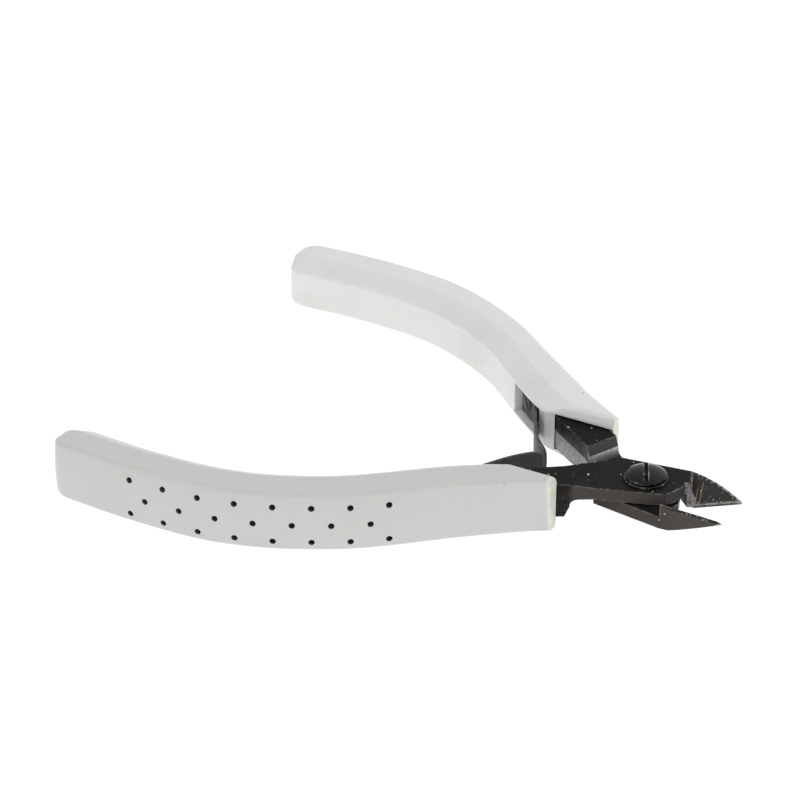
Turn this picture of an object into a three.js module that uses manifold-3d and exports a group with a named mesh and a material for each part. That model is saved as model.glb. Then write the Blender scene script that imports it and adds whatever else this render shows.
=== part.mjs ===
// Electronics side cutters: two lap-jointed steel levers on a slotted pivot screw, a moulded sleeve on each
// handle, and a pair of leaf springs that hold the jaws open. Millimetres, +Z up, +X towards the jaw tips.
//
// Each half is drawn closed, with the cutting edges on the plane y = 0, its handle on the -Y side, its jaw on
// the +Y side and its lap plate above z = 0. The rear half is the front half rolled over about X.

import * as THREE from "three";
import { mergeVertices } from "three/addons/utils/BufferGeometryUtils.js";
import Module from "manifold-3d";

const wasm = await Module();
wasm.setup();

// Opening and clearances
const halfOpening = THREE.MathUtils.degToRad(13);
const lapGap = 0.3;
const seatGap = 0.1;
const sleeveGap = 0.3;
const edgeGap = 0.05;

// Head and jaws
const headHalf = 2.4;
const tipReach = 16.6;
const jawRootReach = 8.4;
const shoulderReach = 6.85;
const shoulderHalfWidth = 4.75;
const jawBulge = { x: 11.9, y: 3.2 };
const headHalfWidth = 5.9;
const headBack = 6.4;
const plateBack = { back: 10.3, in: 1.75 };
const plateFrontHalfWidth = 5.3;
const throatHalfWidth = 4;
const throatReach = 6.55;
const throatBack = 4.4;
const throatRelief = 0.8;
const shoulderGap = 0.45;
const edgeHeightAtRoot = -1.55;
const edgeRise = 0.262;
const bevelSlope = 0.915;
const edgeLand = 0.35;
const undersideSlope = 0.12;

// Neck: the tang's inner side swells out to meet the lap plate
const neckHollow = { back: 14.3, out: 2.6 };
const neckSwell = { back: 21.5, out: 2.6 };
const neckEndAt = 25.8;

// Step from the lap to the full height of the tang
const stepReach = 11.15;
const stepTilt = THREE.MathUtils.degToRad(11);
const stepFillet = { length: 1.6, height: 1.4 };
const stepRamp = 0.85;
const topRampStart = 8;
const topRampSlope = 0.2;

// Handle line, measured from the pivot: how far back and how far out each point lies
const handleRoot = { back: 8.5, out: 3.9 };
const handleKnee = { back: 28.6, out: 10.8 };
const handleRise = { back: 49.1, out: 20.6 };
const handleCrown = { back: 65.7, out: 23.7 };
const handleTurn = { back: 81.6, out: 21.8 };
const handleHeel = { back: 98.4, out: 17.2 };

// Tang inside the sleeve
const tangWidth = 4.8;
const tangHalf = 3.1;
const tangInset = 0.7;
const tangStop = 8;

// Sleeve
const sleeveHalf = 5.4;
const sleeveInner = 5;
const sleeveInnerHalf = 3.2;
const sleeveTopInner = 1.15;
const sleeveTopOuter = 4;
const sleeveOuter = 4.8;
const sleeveFrontTopOuter = 3.3;
const sleeveFrontOuter = 3.7;
const sleeveEdgeRound = 1.2;
const sleeveTaperFrom = 7;
const sleeveTaperTo = 32;
const sleeveCutOffset = 10.4;
const sleeveFrontReach = 11.5;
const heelRadius = 3.8;
const heelDrop = 0.5;

// Perforations of the sleeve's palm side
const holeRadius = 0.55;
const holeDepth = 1.5;
const holePitch = 6.1;
const holeRowSpacing = 3.3;
const holesPerOuterRow = 8;
const holesFromHeel = 17.1;

// Leaf spring and its rivet
const springThickness = 0.5;
const springHalfWidth = 2.5;
const springCorner = 1.6;
const springRootFrom = 34.8;
const springRootTo = 31;
const springMeet = { back: 19.2, out: 0.5 };
const springSweep = { back: 24.5, out: 3.5 };
const springLead = 3;
const windowFrom = 35.3;
const windowTo = 26.5;
const windowHalf = 2.9;
const rivetAt = 32.8;
const rivetRadius = 0.7;
const rivetHeadRadius = 1.3;
const rivetHeadHeight = 0.5;
const rivetDepth = 2;

// Pivot screw and washer
const shankRadius = 2;
const boreGap = 0.1;
const washerRadius = 3.75;
const washerThickness = 0.4;
const screwHeadRadius = 3.55;
const screwRim = 0.5;
const screwDome = 1.1;
const slotWidth = 0.9;
const slotDepth = 0.9;
const slotAngle = THREE.MathUtils.degToRad(-63);
const screwEndRecess = 0.2;

// Fineness of curves, and how far cuts run past the surfaces they open
const roundSides = 40;
const holeSides = 8;
const rivetSides = 12;
const rivetHeadSides = 20;
const curveSteps = 8;
const sectionSteps = 4;
const lineDivisions = 600;
const searchSteps = 40;
const sleeveStations = 34;
const tangStations = 24;
const windowStations = 4;
const heelSteps = 6;
const springSteps = 40;
const springCornerSteps = 5;
const domeSteps = 6;
const weldDistance = 1e-4;
const cutPast = 1;
const far = 60;

const materials = {
  steel: { color: 0x2b2a2c, roughness: 0.5, metalness: 0.8 },
  screw: { color: 0x161618, roughness: 0.25, metalness: 0.8 },
  spring: { color: 0x1d1d20, roughness: 0.4, metalness: 0.8 },
  sleeve: { color: 0xe2e2df, roughness: 0.45, metalness: 0 },
};

// A closed three.js geometry as a solid that can be joined and cut.
function solid(geometry) {
  const bare = geometry.clone();
  bare.deleteAttribute("normal");
  bare.deleteAttribute("uv");
  const merged = mergeVertices(bare, weldDistance);
  const vertProperties = new Float32Array(merged.attributes.position.array);
  const triVerts = new Uint32Array(merged.index.array);
  return new wasm.Manifold(new wasm.Mesh({ numProp: 3, vertProperties, triVerts }));
}

function piece(name, body, finish) {
  const made = body.getMesh();
  const geometry = new THREE.BufferGeometry();
  geometry.setAttribute("position", new THREE.BufferAttribute(made.vertProperties, 3));
  geometry.setIndex(new THREE.BufferAttribute(made.triVerts, 1));
  geometry.computeVertexNormals();
  const mesh = new THREE.Mesh(geometry, new THREE.MeshStandardMaterial(materials[finish]));
  mesh.name = name;
  return mesh;
}

// A flat outline given height between two levels.
function slab(shape, low, high) {
  const depth = high - low;
  const geometry = new THREE.ExtrudeGeometry(shape, { depth, bevelEnabled: false, curveSegments: curveSteps });
  return solid(geometry.translate(0, 0, low));
}

// An outline in the X-Z plane carried right across the tool along Y, turned a little about one place on X.
function across(shape, turn, about) {
  const depth = 4 * far;
  const geometry = new THREE.ExtrudeGeometry(shape, { depth, bevelEnabled: false, curveSegments: curveSteps });
  geometry.rotateX(Math.PI / 2).translate(-about, 2 * far, 0);
  return solid(geometry.rotateZ(turn).translate(about, 0, 0));
}

// Everything on the side of a plane that its normal points to.
function beyond(point, normal) {
  const turn = new THREE.Quaternion().setFromUnitVectors(new THREE.Vector3(0, 0, 1), normal.clone().normalize());
  const box = new THREE.BoxGeometry(4 * far, 4 * far, 4 * far).translate(0, 0, 2 * far);
  return solid(box.applyQuaternion(turn).translate(point.x, point.y, point.z));
}

function rod(from, to, radius, sides) {
  const line = to.clone().sub(from);
  const geometry = new THREE.CylinderGeometry(radius, radius, line.length(), sides);
  const turn = new THREE.Quaternion().setFromUnitVectors(new THREE.Vector3(0, 1, 0), line.clone().normalize());
  const middle = from.clone().add(to).multiplyScalar(0.5);
  return solid(geometry.applyQuaternion(turn).translate(middle.x, middle.y, middle.z));
}

// A closed skin over a row of like rings, each running anticlockwise as seen from the far end.
function loft(rings) {
  const count = rings[0].length;
  const last = (rings.length - 1) * count;
  const faces = [];
  for (let start = 0; start < last; start += count) {
    for (let side = 0; side < count; side++) {
      const a = start + side;
      const b = start + ((side + 1) % count);
      faces.push(a, b, b + count, a, b + count, a + count);
    }
  }
  for (let side = 1; side + 1 < count; side++) {
    faces.push(0, side + 1, side, last, last + side, last + side + 1);
  }
  const geometry = new THREE.BufferGeometry().setFromPoints(rings.flat());
  return solid(geometry.setIndex(faces));
}

// The handle line and places beside it: s runs from the head, out is towards the palm.
const handleMarks = [handleRoot, handleKnee, handleRise, handleCrown, handleTurn, handleHeel];
const handleLine = new THREE.CatmullRomCurve3(
  handleMarks.map((mark) => new THREE.Vector3(-mark.back, -mark.out, 0)),
  false,
  "centripetal",
);
handleLine.arcLengthDivisions = lineDivisions;
const handleLength = handleLine.getLength();

function outward(s) {
  const along = handleLine.getTangentAt(s / handleLength);
  return new THREE.Vector3(-along.y, along.x, 0);
}

function beside(s, out, z) {
  const place = handleLine.getPointAt(s / handleLength);
  return place.addScaledVector(outward(s), out).setZ(z);
}

// How far along the handle line a place lies that is the given distance behind the pivot.
function alongAt(back) {
  let low = 0;
  let high = handleLength;
  for (let step = 0; step < searchSteps; step++) {
    const middle = (low + high) / 2;
    if (-handleLine.getPointAt(middle / handleLength).x < back) low = middle;
    else high = middle;
  }
  return low;
}

function bar(from, to, inner, outer, half, stations) {
  const rings = [];
  for (let i = 0; i <= stations; i++) {
    const s = from + ((to - from) * i) / stations;
    rings.push([beside(s, inner, -half), beside(s, outer, -half), beside(s, outer, half), beside(s, inner, half)]);
  }
  return loft(rings);
}

const tangInner = -tangInset - tangWidth / 2;
const tangOuter = -tangInset + tangWidth / 2;

// Plan of the head: lap plate, jaw and throat in one outline.
function headPlan() {
  const shape = new THREE.Shape();
  shape.moveTo(shoulderReach, shoulderHalfWidth);
  shape.lineTo(-headBack, headHalfWidth);
  shape.lineTo(-plateBack.back, plateBack.in);
  const neckIn = beside(0, tangInner, 0);
  const neckOut = beside(0, tangOuter, 0);
  shape.lineTo(neckIn.x, neckIn.y);
  shape.lineTo(neckOut.x, neckOut.y);
  shape.lineTo(-headBack, -plateFrontHalfWidth);
  shape.lineTo(throatBack, -throatHalfWidth);
  shape.lineTo(throatReach, -throatRelief);
  shape.lineTo(throatReach, throatRelief);
  shape.lineTo((throatReach + jawRootReach) / 2, throatRelief);
  shape.lineTo(jawRootReach, edgeGap);
  shape.lineTo(tipReach, edgeGap);
  shape.quadraticCurveTo(jawBulge.x, jawBulge.y, shoulderReach, shoulderHalfWidth);
  return shape;
}

// Plan of the neck behind the lap plate, with some room round its inner side.
function neckPlan(room) {
  const shape = new THREE.Shape();
  const fall = (topRampStart - headBack) / (plateBack.back - headBack);
  const end = beside(alongAt(neckEndAt) + room, tangInner - room, 0);
  const core = beside(alongAt(neckEndAt) + room, 0, 0);
  const root = beside(0, tangOuter, 0);
  shape.moveTo(-topRampStart, headHalfWidth + (plateBack.in - headHalfWidth) * fall + room);
  shape.lineTo(-plateBack.back, plateBack.in + room);
  const hollow = new THREE.Vector2(-neckHollow.back, -neckHollow.out + room);
  const swell = new THREE.Vector2(-neckSwell.back, -neckSwell.out + room);
  shape.bezierCurveTo(hollow.x, hollow.y, swell.x, swell.y, end.x, end.y);
  shape.lineTo(core.x, core.y);
  shape.lineTo(root.x, root.y);
  return shape;
}

// Room for the other lever's lap plate: a step with a ramp and a fillet behind, the jaw's shoulder in front.
// Below the lap nothing of the neck reaches past the middle, where the other lever's neck stands.
function lapRoom(bevelSide) {
  const lap = lapGap / 2;
  const shoulderBack = bevelSide > 0 ? throatBack + shoulderGap : shoulderReach + edgeGap;
  const filletBack = -stepReach - stepFillet.length;
  const filletLow = lap - stepFillet.height;
  const step = new THREE.Shape();
  step.moveTo(far, lap);
  step.lineTo(far, -far);
  step.lineTo(filletBack - stepRamp, -far);
  step.lineTo(filletBack - stepRamp, -tangHalf);
  step.lineTo(filletBack, filletLow);
  step.quadraticCurveTo(filletBack, lap, -stepReach, lap);
  const plan = new THREE.Shape();
  plan.moveTo(-far, -far);
  plan.lineTo(throatBack + shoulderGap, -far);
  plan.lineTo(throatReach + shoulderGap, 0);
  plan.lineTo(throatReach + shoulderGap, throatRelief);
  plan.lineTo(shoulderBack, throatHalfWidth);
  plan.lineTo(shoulderBack, far);
  plan.lineTo(-far, far);
  const pastMiddle = new THREE.Shape();
  pastMiddle.moveTo(-far, -seatGap);
  pastMiddle.lineTo(0, -seatGap);
  pastMiddle.lineTo(0, far);
  pastMiddle.lineTo(-far, far);
  return across(step, stepTilt, -stepReach)
    .intersect(slab(plan, -far, far))
    .add(slab(pastMiddle, -far, lap));
}

// Ground faces of the jaw: the bevel, down to the cutting edge, and the flush face on the other side. On the lever
// with the lower lap plate they run back into the room for the upper plate.
function jawGrinding(bevelSide) {
  const outerBack = bevelSide > 0 ? shoulderReach : throatReach;
  const innerBack = bevelSide > 0 ? (throatReach + jawRootReach) / 2 : throatReach;
  const root = new THREE.Vector3(jawRootReach, 0, edgeHeightAtRoot * bevelSide);
  const bevel = new THREE.Vector3(-edgeRise, -bevelSlope, 1);
  const flush = new THREE.Vector3(edgeRise, -undersideSlope, -1);
  const foot = root.clone().setZ((edgeHeightAtRoot - edgeLand) * bevelSide);
  bevel.z *= bevelSide;
  flush.z *= bevelSide;
  const plan = new THREE.Shape();
  plan.moveTo(outerBack, shoulderHalfWidth + edgeGap);
  plan.lineTo(innerBack, throatRelief);
  plan.lineTo(jawRootReach, -edgeGap);
  plan.lineTo(far, -edgeGap);
  plan.lineTo(far, far);
  plan.lineTo(outerBack, far);
  return beyond(root, bevel)
    .intersect(slab(plan, -far, far))
    .add(beyond(foot, flush).intersect(slab(plan, -far, far)));
}

const rivetS = alongAt(rivetAt);
const springInner = tangInner - seatGap - springThickness;

function lever(name, bevelSide) {
  const tang = bar(0, handleLength - tangStop, tangInner, tangOuter, tangHalf, tangStations);
  const neck = slab(neckPlan(0), -tangHalf, tangHalf);
  const ramp = new THREE.Vector3(topRampSlope, 0, 1);
  const topRamp = beyond(new THREE.Vector3(-topRampStart, 0, headHalf), ramp);
  const axis = new THREE.Vector3(0, 0, far);
  const bore = rod(axis.clone().negate(), axis, shankRadius + boreGap, roundSides);
  const rivetHole = rod(
    beside(rivetS, tangInner - cutPast, 0),
    beside(rivetS, tangInner + rivetDepth + seatGap, 0),
    rivetRadius + seatGap,
    rivetSides,
  );
  const body = slab(headPlan(), -headHalf, headHalf)
    .add(tang.add(neck).subtract(topRamp))
    .subtract(lapRoom(bevelSide))
    .subtract(jawGrinding(bevelSide))
    .subtract(bore)
    .subtract(rivetHole);
  return piece(name, body, "steel");
}

// Section of the sleeve, from the inner flat round the underside to the palm side and back over the top. The palm
// side is bowed along the hand and nearly flat at the front end.
function sleeveSection(s) {
  const grown = THREE.MathUtils.smoothstep(s, sleeveTaperFrom, sleeveTaperTo);
  const topOuter = THREE.MathUtils.lerp(sleeveFrontTopOuter, sleeveTopOuter, grown);
  const outer = THREE.MathUtils.lerp(sleeveFrontOuter, sleeveOuter, grown);
  const roundStart = sleeveHalf - sleeveEdgeRound;
  const brow = outer - (outer - topOuter) * (roundStart / sleeveHalf) ** 2;
  const shape = new THREE.Shape();
  shape.moveTo(-sleeveInner, -sleeveInnerHalf);
  shape.lineTo(-sleeveTopInner, -sleeveHalf);
  shape.lineTo(topOuter - sleeveEdgeRound, -sleeveHalf);
  shape.quadraticCurveTo(topOuter, -sleeveHalf, brow, -roundStart);
  shape.quadraticCurveTo(2 * outer - brow, 0, brow, roundStart);
  shape.quadraticCurveTo(topOuter, sleeveHalf, topOuter - sleeveEdgeRound, sleeveHalf);
  shape.lineTo(-sleeveTopInner, sleeveHalf);
  shape.lineTo(-sleeveInner, sleeveInnerHalf);
  return shape.getPoints(sectionSteps);
}

function sleeveBody() {
  const middle = (sleeveOuter - sleeveInner) / 2;
  const halfWidth = (sleeveOuter + sleeveInner) / 2;
  const straight = handleLength - heelRadius;
  const ring = (s, squeeze, drop) => {
    const lower = 1 - drop / sleeveHalf;
    return sleeveSection(s).map(({ x, y }) => beside(s, middle + (x - middle) * squeeze, y * lower));
  };
  const rings = [];
  for (let i = 0; i <= sleeveStations; i++) rings.push(ring((straight * i) / sleeveStations, 1, 0));
  for (let i = 1; i <= heelSteps; i++) {
    const angle = (Math.PI / 2) * (i / heelSteps);
    const lost = heelRadius * (1 - Math.cos(angle));
    const s = straight + heelRadius * Math.sin(angle);
    rings.push(ring(Math.min(s, handleLength), 1 - lost / halfWidth, heelDrop * (1 - Math.cos(angle))));
  }
  return loft(rings);
}

// The sleeve stops at a face that lies along the tool's length when the jaws are open, and at a blunt front end.
function sleeveFrontCut() {
  const facing = new THREE.Vector3(0, 1, 0).applyAxisAngle(new THREE.Vector3(0, 0, 1), -halfOpening);
  const forward = new THREE.Vector3(1, 0, 0).applyAxisAngle(new THREE.Vector3(0, 0, 1), -halfOpening);
  const mouth = beyond(facing.clone().multiplyScalar(-sleeveCutOffset), facing);
  return mouth.add(beyond(forward.clone().multiplyScalar(-sleeveFrontReach), forward));
}

function perforations() {
  let holes = null;
  for (let row = -1; row <= 1; row++) {
    const count = row === 0 ? holesPerOuterRow - 1 : holesPerOuterRow;
    const shift = row === 0 ? holePitch / 2 : 0;
    for (let i = 0; i < count; i++) {
      const s = handleLength - holesFromHeel - shift - i * holePitch;
      const z = row * holeRowSpacing;
      const bulge = (sleeveOuter - sleeveTopOuter) * (1 - (z / sleeveHalf) ** 2);
      const surface = sleeveTopOuter + bulge;
      const hole = rod(beside(s, surface - holeDepth, z), beside(s, surface + cutPast, z), holeRadius, holeSides);
      holes = holes ? holes.add(hole) : hole;
    }
  }
  return holes;
}

function sleeve(name) {
  const pocket = bar(
    0,
    handleLength - tangStop + sleeveGap,
    tangInner - sleeveGap,
    tangOuter + sleeveGap,
    tangHalf + sleeveGap,
    tangStations,
  );
  const neckRoom = slab(neckPlan(sleeveGap), -tangHalf - sleeveGap, tangHalf + sleeveGap);
  const past = -sleeveInner - cutPast;
  const window = bar(alongAt(windowTo), alongAt(windowFrom), past, tangInner, windowHalf, windowStations);
  const body = sleeveBody()
    .subtract(pocket.add(neckRoom))
    .subtract(window)
    .subtract(sleeveFrontCut())
    .subtract(perforations());
  return piece(name, body, "sleeve");
}

// A leaf that lies on the tang, leaves the sleeve by its window and sweeps round to meet its twin.
function spring(name) {
  const root = springInner + springThickness / 2;
  const free = (mark) =>
    new THREE.Vector3(-mark.back, -mark.out, 0).applyAxisAngle(new THREE.Vector3(0, 0, 1), -halfOpening);
  const rootEnd = beside(alongAt(springRootFrom), root, 0);
  const rootFront = beside(alongAt(springRootTo), root, 0);
  const leaving = rootFront.clone().sub(rootEnd).setLength(springLead).add(rootFront);
  const line = new THREE.CurvePath();
  line.add(new THREE.LineCurve3(rootEnd, rootFront));
  line.add(new THREE.CubicBezierCurve3(rootFront, leaving, free(springSweep), free(springMeet)));
  const length = line.getLength();
  const rings = [];
  const ring = (s) => {
    const u = Math.min(s / length, 1);
    const along = line.getTangentAt(u);
    const side = new THREE.Vector3(-along.y, along.x, 0).multiplyScalar(springThickness / 2);
    const intoCorner = Math.max(0, s - (length - springCorner));
    const half = springHalfWidth - springCorner + Math.sqrt(springCorner ** 2 - intoCorner ** 2);
    const place = line.getPointAt(u);
    const corner = (across, z) => place.clone().addScaledVector(side, across).setZ(z);
    rings.push([corner(-1, -half), corner(1, -half), corner(1, half), corner(-1, half)]);
  };
  for (let i = 0; i <= springSteps; i++) ring(((length - springCorner) * i) / springSteps);
  for (let i = 1; i <= springCornerSteps; i++) {
    ring(length - springCorner * (1 - Math.sin((Math.PI / 2) * (i / springCornerSteps))));
  }
  const hole = rod(
    beside(rivetS, root - cutPast, 0),
    beside(rivetS, root + cutPast, 0),
    rivetRadius + seatGap,
    rivetSides,
  );
  return piece(name, loft(rings).subtract(hole), "spring");
}

function springRivet(name) {
  const headFoot = springInner - seatGap;
  const foot = beside(rivetS, headFoot, 0);
  const crown = beside(rivetS, headFoot - rivetHeadHeight, 0);
  const insideHead = beside(rivetS, headFoot - rivetHeadHeight / 2, 0);
  const shank = rod(insideHead, beside(rivetS, tangInner + rivetDepth, 0), rivetRadius, rivetSides);
  const head = rod(crown, foot, rivetHeadRadius, rivetHeadSides);
  return piece(name, shank.add(head), "screw");
}

function lathe(profile) {
  const points = profile.map(([r, z]) => new THREE.Vector2(r, z));
  return solid(new THREE.LatheGeometry(points, roundSides).rotateX(Math.PI / 2));
}

const washerFoot = headHalf + seatGap;
const screwFoot = washerFoot + washerThickness + seatGap;

function pivotWasher() {
  const inner = shankRadius + boreGap;
  const top = washerFoot + washerThickness;
  const profile = [
    [inner, washerFoot],
    [washerRadius, washerFoot],
    [washerRadius, top],
    [inner, top],
    [inner, washerFoot],
  ];
  return piece("pivot_washer", lathe(profile), "screw");
}

function pivotScrew() {
  const rimTop = screwFoot + screwRim;
  const profile = [
    [0, -headHalf + screwEndRecess],
    [shankRadius, -headHalf + screwEndRecess],
    [shankRadius, screwFoot],
    [screwHeadRadius, screwFoot],
    [screwHeadRadius, rimTop],
  ];
  for (let i = 1; i <= domeSteps; i++) {
    const angle = (Math.PI / 2) * (i / domeSteps);
    profile.push([screwHeadRadius * Math.cos(angle), rimTop + screwDome * Math.sin(angle)]);
  }
  profile[profile.length - 1][0] = 0;
  const slot = new THREE.BoxGeometry(4 * screwHeadRadius, slotWidth, 2 * slotDepth);
  const cut = solid(slot.rotateZ(slotAngle).translate(0, 0, rimTop + screwDome));
  return piece("pivot_screw", lathe(profile).subtract(cut), "screw");
}

function half(side, bevelSide) {
  const group = new THREE.Group();
  group.add(lever(side + "_lever", bevelSide));
  group.add(sleeve(side + "_grip"));
  group.add(spring(side + "_spring"));
  group.add(springRivet(side + "_spring_rivet"));
  return group;
}

const frontHalf = half("front", 1);
frontHalf.rotation.z = halfOpening;

const rearHalf = half("rear", -1);
rearHalf.rotation.x = Math.PI;
const rearSwing = new THREE.Group();
rearSwing.rotation.z = -halfOpening;
rearSwing.add(rearHalf);

const cutters = new THREE.Group();
cutters.add(frontHalf, rearSwing, pivotScrew(), pivotWasher());

// The origin is the middle of the tool's footprint, on the surface that its sleeves lie on.
const box = new THREE.Box3().setFromObject(cutters, true);
const middle = box.getCenter(new THREE.Vector3());
cutters.position.set(-middle.x, -middle.y, -box.min.z);

export default cutters;
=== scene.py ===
import math
from bisect import bisect_right
import bmesh
import bpy
from mathutils import Matrix, Vector


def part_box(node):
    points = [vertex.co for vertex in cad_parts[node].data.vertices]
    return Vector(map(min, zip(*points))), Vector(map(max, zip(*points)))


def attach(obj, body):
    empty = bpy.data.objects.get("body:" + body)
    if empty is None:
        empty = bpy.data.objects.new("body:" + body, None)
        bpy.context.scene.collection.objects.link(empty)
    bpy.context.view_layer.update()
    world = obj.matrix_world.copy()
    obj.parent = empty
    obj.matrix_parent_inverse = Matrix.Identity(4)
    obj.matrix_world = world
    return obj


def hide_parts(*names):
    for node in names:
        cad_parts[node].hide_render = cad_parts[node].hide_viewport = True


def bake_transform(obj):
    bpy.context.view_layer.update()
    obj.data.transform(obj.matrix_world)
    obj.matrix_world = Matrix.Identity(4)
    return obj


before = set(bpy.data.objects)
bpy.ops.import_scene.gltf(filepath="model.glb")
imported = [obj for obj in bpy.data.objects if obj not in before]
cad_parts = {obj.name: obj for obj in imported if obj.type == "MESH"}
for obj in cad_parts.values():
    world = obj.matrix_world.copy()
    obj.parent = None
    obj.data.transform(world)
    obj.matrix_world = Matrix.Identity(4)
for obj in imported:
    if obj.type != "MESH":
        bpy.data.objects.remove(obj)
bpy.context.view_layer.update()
scene = bpy.context.scene
scene.view_settings.view_transform = "Standard"
print("frame loaded:", sorted(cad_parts))

# places: each half is drawn closed, in millimetres from the pivot, then swung open
mm = 0.001
halfOpening = math.radians(13)
screwLow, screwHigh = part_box("pivot_screw")
gripLow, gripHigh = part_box("front_grip")
pivot = Vector(((screwLow.x + screwHigh.x) / 2, 0, (gripLow.z + gripHigh.z) / 2))
openPlace = Matrix.Translation(pivot) @ Matrix.Scale(mm, 4)
frontPlace = Matrix.Translation(pivot) @ Matrix.Rotation(halfOpening, 4, "Z") @ Matrix.Scale(mm, 4)
rearPlace = (
    Matrix.Translation(pivot)
    @ Matrix.Rotation(-halfOpening, 4, "Z")
    @ Matrix.Rotation(math.pi, 4, "X")
    @ Matrix.Scale(mm, 4)
)


# camera: the photograph's viewing angle, long lens
cameraLook = {
    "azimuth": 29.65,
    "elevation": 29.325,
    "place": (232.304, -491.736, 322.202),  # from the pivot, mm
    "lift": 0.05,
    "lens": 168.3,
    "sensor": 36,
    "clip": (0.01, 20),
}


def makeCamera(look):
    azimuth, elevation = math.radians(look["azimuth"]), math.radians(look["elevation"])
    ground = Vector((math.sin(azimuth), -math.cos(azimuth), 0))
    right = Vector((math.cos(azimuth), math.sin(azimuth), 0))
    back = ground * math.cos(elevation) + Vector((0, 0, math.sin(elevation)))
    up = Vector((0, 0, math.cos(elevation))) - ground * math.sin(elevation)
    data = bpy.data.cameras.new("photoCamera")
    data.lens = look["lens"]
    data.sensor_width = look["sensor"]
    data.clip_start, data.clip_end = look["clip"]
    camera = bpy.data.objects.new("photoCamera", data)
    scene.collection.objects.link(camera)
    camera.rotation_mode = "QUATERNION"
    camera.rotation_quaternion = Matrix((right, up, back)).transposed().to_quaternion()
    camera.location = openPlace @ (Vector(look["place"]) + up * look["lift"])
    scene.camera = camera


makeCamera(cameraLook)
print("camera set")


# small node helpers
def link(tree, source, target):
    tree.links.new(source, target)


def node(tree, kind, **settings):
    made = tree.nodes.new(kind)
    for key, value in settings.items():
        setattr(made, key, value)
    return made


# a number, a vector or a colour is set on an input, anything else is linked to it
def fill(tree, made, entries):
    for label, entry in entries.items():
        socket = made.inputs[label]
        if isinstance(entry, (int, float)):
            socket.default_value = entry
        elif isinstance(entry, tuple):
            socket.default_value = (*entry, 1)[: len(socket.default_value)]
        else:
            link(tree, entry, socket)
    return made


def newGroup(name, inputs, outputs):
    tree = bpy.data.node_groups.new(name, "ShaderNodeTree")
    for label, value in inputs.items():
        kind = "NodeSocketVector" if isinstance(value, tuple) else "NodeSocketFloat"
        socket = tree.interface.new_socket(label, in_out="INPUT", socket_type=kind)
        socket.default_value = value
    for label in outputs:
        tree.interface.new_socket(label, in_out="OUTPUT", socket_type="NodeSocketFloat")
    return tree, node(tree, "NodeGroupInput"), node(tree, "NodeGroupOutput")


def mathNode(tree, operation, first, second=None):
    entries = {0: first} if second is None else {0: first, 1: second}
    return fill(tree, node(tree, "ShaderNodeMath", operation=operation), entries).outputs[0]


def plus(tree, first, second):
    return mathNode(tree, "ADD", first, second)


def minus(tree, first, second):
    return mathNode(tree, "SUBTRACT", first, second)


def times(tree, first, second):
    return mathNode(tree, "MULTIPLY", first, second)


def larger(tree, first, second):
    return mathNode(tree, "MAXIMUM", first, second)


def ramp(tree, value, low, high, toLow=0.0, toHigh=1.0):
    made = node(tree, "ShaderNodeMapRange", interpolation_type="SMOOTHSTEP")
    entries = {"Value": value, "From Min": low, "From Max": high, "To Min": toLow, "To Max": toHigh}
    return fill(tree, made, entries).outputs["Result"]


def noise(tree, vector, scale, detail, roughness):
    entries = {"Vector": vector, "Scale": scale, "Detail": detail, "Roughness": roughness}
    return fill(tree, node(tree, "ShaderNodeTexNoise"), entries).outputs["Fac"]


def splitPlace(tree, place):
    split = node(tree, "ShaderNodeSeparateXYZ")
    link(tree, place, split.inputs[0])
    return split.outputs


# place in millimetres from the pivot
def pivotPlace(tree, place):
    moved = node(tree, "ShaderNodeVectorMath", operation="MULTIPLY_ADD")
    link(tree, place, moved.inputs[0])
    moved.inputs[1].default_value = (1 / mm, 1 / mm, 1 / mm)
    moved.inputs[2].default_value = -pivot / mm
    return splitPlace(tree, moved.outputs[0])


# height above the middle plane, mm, counted downwards on the front half: the halves are rolled over to each other
def lapHeight(tree, place):
    split = pivotPlace(tree, place)
    return times(tree, split[2], mathNode(tree, "SIGN", split[1]))


# place on a jaw as if it were closed, mm: along the edge and across it
def jawPlace(tree, split):
    aside = mathNode(tree, "ABSOLUTE", split[1])
    turn, lean = math.cos(halfOpening), math.sin(halfOpening)
    along = plus(tree, times(tree, split[0], turn), times(tree, aside, lean))
    across = minus(tree, times(tree, aside, turn), times(tree, split[0], lean))
    return along, across


# specks: scattered grains, each in its own cell, a share of the cells left empty
speckShape = {"wobbleScale": 2600, "wobbleReach": 0.0003, "leastSize": 0.35, "core": 0.55}


def makeSpecks(look):
    inputs = {"Vector": (0, 0, 0), "Scale": 400.0, "Share": 0.1, "Size": 0.2}
    tree, given, result = newGroup("specks", inputs, ["Mask", "Tone"])
    wobble = node(tree, "ShaderNodeTexNoise")
    link(tree, given.outputs["Vector"], wobble.inputs["Vector"])
    wobble.inputs["Scale"].default_value = look["wobbleScale"]
    bent = node(tree, "ShaderNodeVectorMath", operation="MULTIPLY_ADD")
    link(tree, wobble.outputs["Color"], bent.inputs[0])
    bent.inputs[1].default_value = [look["wobbleReach"]] * 3
    link(tree, given.outputs["Vector"], bent.inputs[2])
    cells = node(tree, "ShaderNodeTexVoronoi", feature="F1")
    link(tree, bent.outputs[0], cells.inputs["Vector"])
    link(tree, given.outputs["Scale"], cells.inputs["Scale"])
    split = node(tree, "ShaderNodeSeparateColor")
    link(tree, cells.outputs["Color"], split.inputs[0])
    chosen = mathNode(tree, "LESS_THAN", split.outputs[0], given.outputs["Share"])
    reach = times(tree, given.outputs["Size"], plus(tree, split.outputs[1], look["leastSize"]))
    grain = ramp(tree, cells.outputs["Distance"], reach, times(tree, reach, look["core"]))
    link(tree, times(tree, chosen, grain), result.inputs["Mask"])
    link(tree, split.outputs[2], result.inputs["Tone"])
    return tree


# edge wear: convex edges, broken up by noise
wearShape = {"samples": 8, "broken": (0.32, 0.68), "shown": (0.06, 0.42)}


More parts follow.
